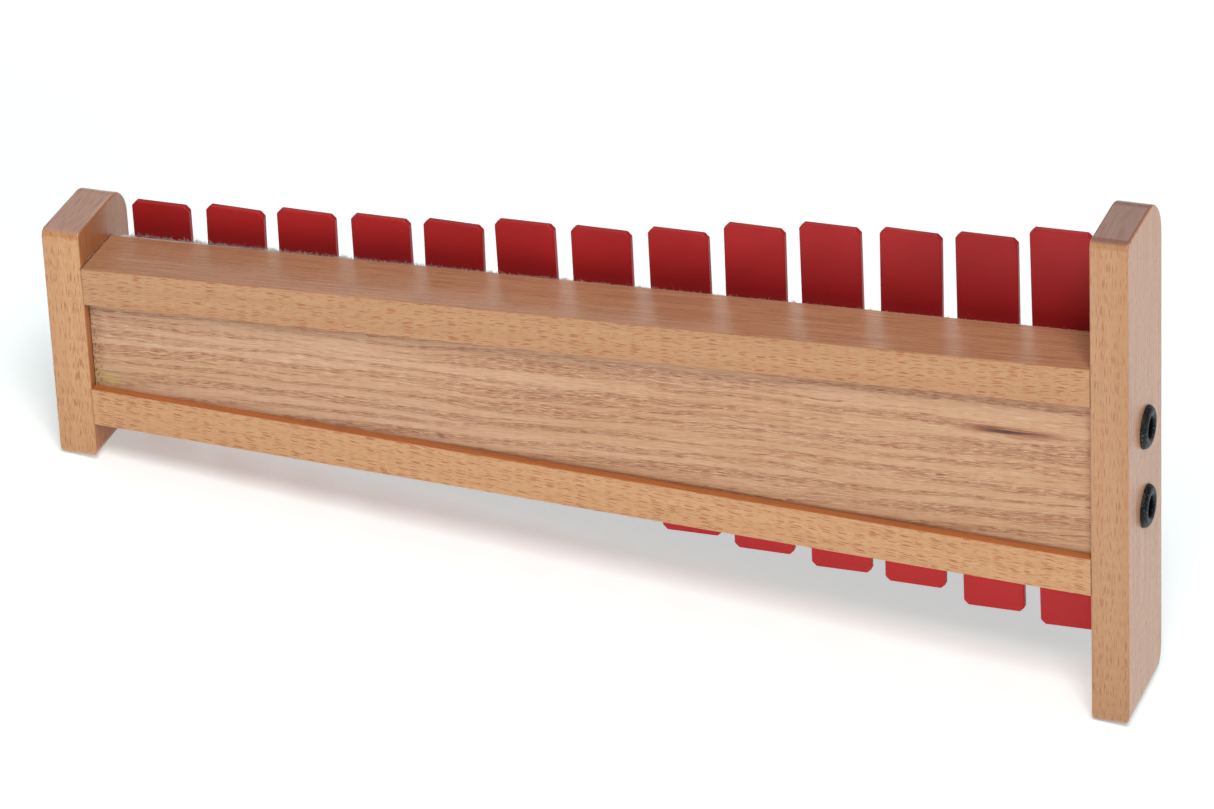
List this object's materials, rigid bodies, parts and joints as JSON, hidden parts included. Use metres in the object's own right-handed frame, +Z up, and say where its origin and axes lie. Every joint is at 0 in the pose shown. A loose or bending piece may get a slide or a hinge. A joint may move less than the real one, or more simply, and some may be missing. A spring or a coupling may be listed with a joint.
{
  "type": "glockenspiel",
  "caption": "Tabletop glockenspiel with graded red metal bars floating on felt over a tapered beech frame, stood on its long side.",
  "frame": {"origin": "middle of the footprint, on the surface that the instrument stands on", "axes": "+Z up with the instrument stood on one long side, +X towards the long cheek and the low notes, +Y from the open underside towards the bars"},
  "size_m": [0.467, 0.0486, 0.2124],
  "materials": {
    "beech": "satin clear lacquer",
    "panel_veneer": "bare plywood veneer",
    "dowel_wood": "bare",
    "red_lacquer": "glossy red lacquer on steel",
    "white_felt": "soft felt",
    "nickel_screws": "nickel plated",
    "sleeve_rubber": "matt",
    "black_rubber": "satin"
  },
  "bodies": {
    "frame": {"short_cheek": "beech", "long_cheek": "beech", "bottom_panel": "panel_veneer", "dowels_short_end": "dowel_wood", "dowels_long_end": "dowel_wood", "rail_upper": "beech", "felt_strip_upper": "white_felt", "bar_screws_upper": "nickel_screws", "bar_sleeves_upper": "sleeve_rubber", "mallet_grommet_upper": "black_rubber", "rail_lower": "beech", "felt_strip_lower": "white_felt", "bar_screws_lower": "nickel_screws", "bar_sleeves_lower": "sleeve_rubber", "mallet_grommet_lower": "black_rubber"},
    "bar_a6": {"bar_a6": "red_lacquer"},
    "bar_g6": {"bar_g6": "red_lacquer"},
    "bar_f6": {"bar_f6": "red_lacquer"},
    "bar_e6": {"bar_e6": "red_lacquer"},
    "bar_d6": {"bar_d6": "red_lacquer"},
    "bar_c6": {"bar_c6": "red_lacquer"},
    "bar_b5": {"bar_b5": "red_lacquer"},
    "bar_a5": {"bar_a5": "red_lacquer"},
    "bar_g5": {"bar_g5": "red_lacquer"},
    "bar_f5": {"bar_f5": "red_lacquer"},
    "bar_e5": {"bar_e5": "red_lacquer"},
    "bar_d5": {"bar_d5": "red_lacquer"},
    "bar_c5": {"bar_c5": "red_lacquer"}
  },
  "joints": [
    {"name": "bar_a6_lift", "type": "slide", "parent": "frame", "child": "bar_a6", "axis": [0, 1, 0], "range_m": [0, 0.0008]},
    {"name": "bar_g6_lift", "type": "slide", "parent": "frame", "child": "bar_g6", "axis": [0, 1, 0], "range_m": [0, 0.0008]},
    {"name": "bar_f6_lift", "type": "slide", "parent": "frame", "child": "bar_f6", "axis": [0, 1, 0], "range_m": [0, 0.0008]},
    {"name": "bar_e6_lift", "type": "slide", "parent": "frame", "child": "bar_e6", "axis": [0, 1, 0], "range_m": [0, 0.0008]},
    {"name": "bar_d6_lift", "type": "slide", "parent": "frame", "child": "bar_d6", "axis": [0, 1, 0], "range_m": [0, 0.0008]},
    {"name": "bar_c6_lift", "type": "slide", "parent": "frame", "child": "bar_c6", "axis": [0, 1, 0], "range_m": [0, 0.0008]},
    {"name": "bar_b5_lift", "type": "slide", "parent": "frame", "child": "bar_b5", "axis": [0, 1, 0], "range_m": [0, 0.0008]},
    {"name": "bar_a5_lift", "type": "slide", "parent": "frame", "child": "bar_a5", "axis": [0, 1, 0], "range_m": [0, 0.0008]},
    {"name": "bar_g5_lift", "type": "slide", "parent": "frame", "child": "bar_g5", "axis": [0, 1, 0], "range_m": [0, 0.0008]},
    {"name": "bar_f5_lift", "type": "slide", "parent": "frame", "child": "bar_f5", "axis": [0, 1, 0], "range_m": [0, 0.0008]},
    {"name": "bar_e5_lift", "type": "slide", "parent": "frame", "child": "bar_e5", "axis": [0, 1, 0], "range_m": [0, 0.0008]},
    {"name": "bar_d5_lift", "type": "slide", "parent": "frame", "child": "bar_d5", "axis": [0, 1, 0], "range_m": [0, 0.0008]},
    {"name": "bar_c5_lift", "type": "slide", "parent": "frame", "child": "bar_c5", "axis": [0, 1, 0], "range_m": [0, 0.0008]}
  ]
}
